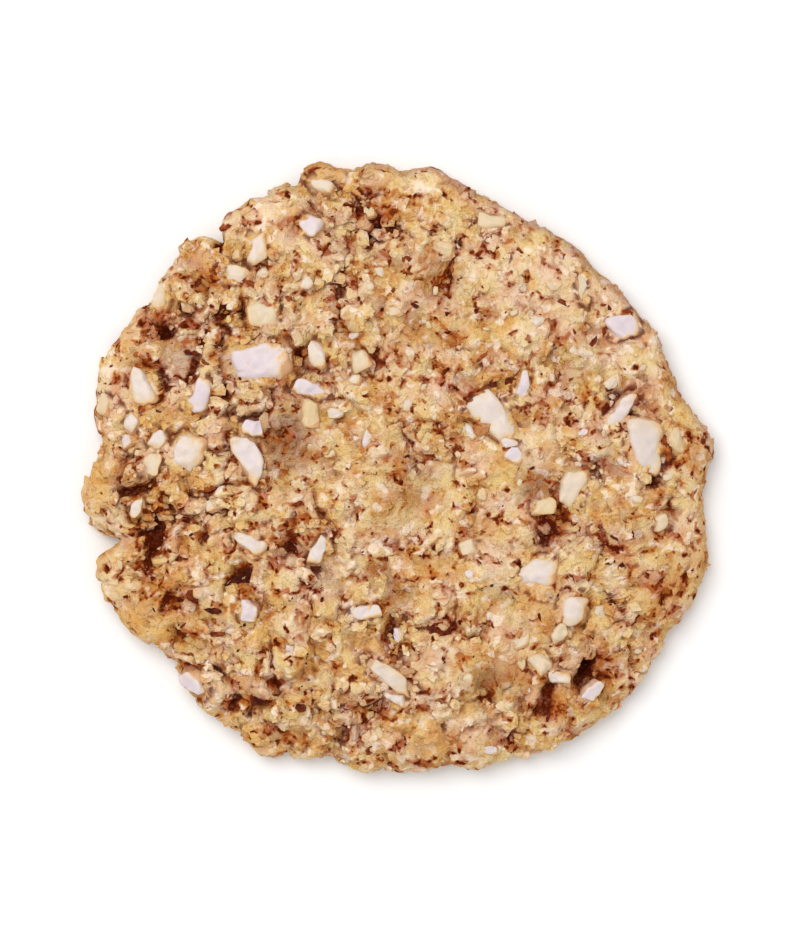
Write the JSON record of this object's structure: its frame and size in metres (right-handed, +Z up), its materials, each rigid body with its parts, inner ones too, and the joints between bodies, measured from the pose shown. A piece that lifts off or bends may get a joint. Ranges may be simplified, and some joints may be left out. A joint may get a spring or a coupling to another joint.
{
  "type": "almond cookie",
  "caption": "Round, flat crumbly baked cookie with a craggy, pitted top, a lopsided lumpy edge and chopped almonds baked into it; lies on its flat base.",
  "frame": {"origin": "on the flat base, under the middle of the cookie's outline", "axes": "+Z up through the cookie; +X and +Y to the right and the top of the cookie as seen from above"},
  "size_m": [0.0812, 0.0782, 0.0093],
  "materials": {
    "cookie_dough": null,
    "almond": null,
    "almond_skin": null
  },
  "bodies": {
    "root": {"cookie": "cookie_dough"}
  },
  "joints": []
}
